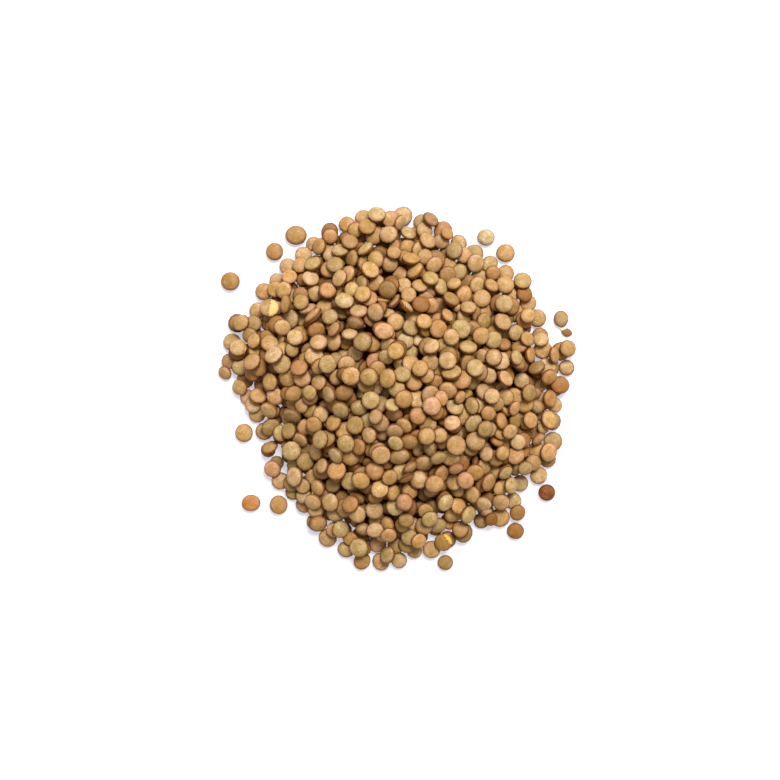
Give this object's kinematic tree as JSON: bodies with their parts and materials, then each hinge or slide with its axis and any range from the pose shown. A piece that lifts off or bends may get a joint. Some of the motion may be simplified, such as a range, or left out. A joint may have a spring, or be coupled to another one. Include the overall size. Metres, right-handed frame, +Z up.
{
  "type": "heap of dry lentils",
  "caption": "Loose low heap of dry brown lentils on a bare surface, uneven round foot, small domed seeds, with a few stray lentils and a chip of husk lying beside it",
  "frame": {"origin": "on the surface under the heap, below the middle of the bounding box", "axes": "+Z up; +X to the right and +Y away, as the heap is seen from above"},
  "size_m": [0.1216, 0.1252, 0.0236],
  "materials": {
    "seed_coat": "matte, faintly mottled tan and olive",
    "red_brown_seed_coat": "matte red-brown",
    "husk": "dry torn husk"
  },
  "bodies": {
    "root": {"lentil_heap": "seed_coat", "stray_far_left": "seed_coat", "stray_low_left": "red_brown_seed_coat", "stray_near_left": "seed_coat", "stray_left": "seed_coat", "stray_bottom": "seed_coat", "stray_dark": "red_brown_seed_coat", "stray_low_right": "seed_coat", "stray_high_right": "seed_coat", "stray_top_right": "seed_coat", "stray_top": "seed_coat", "stray_top_left": "seed_coat", "stray_upper_left": "seed_coat", "husk_chip": "husk"}
  },
  "joints": []
}
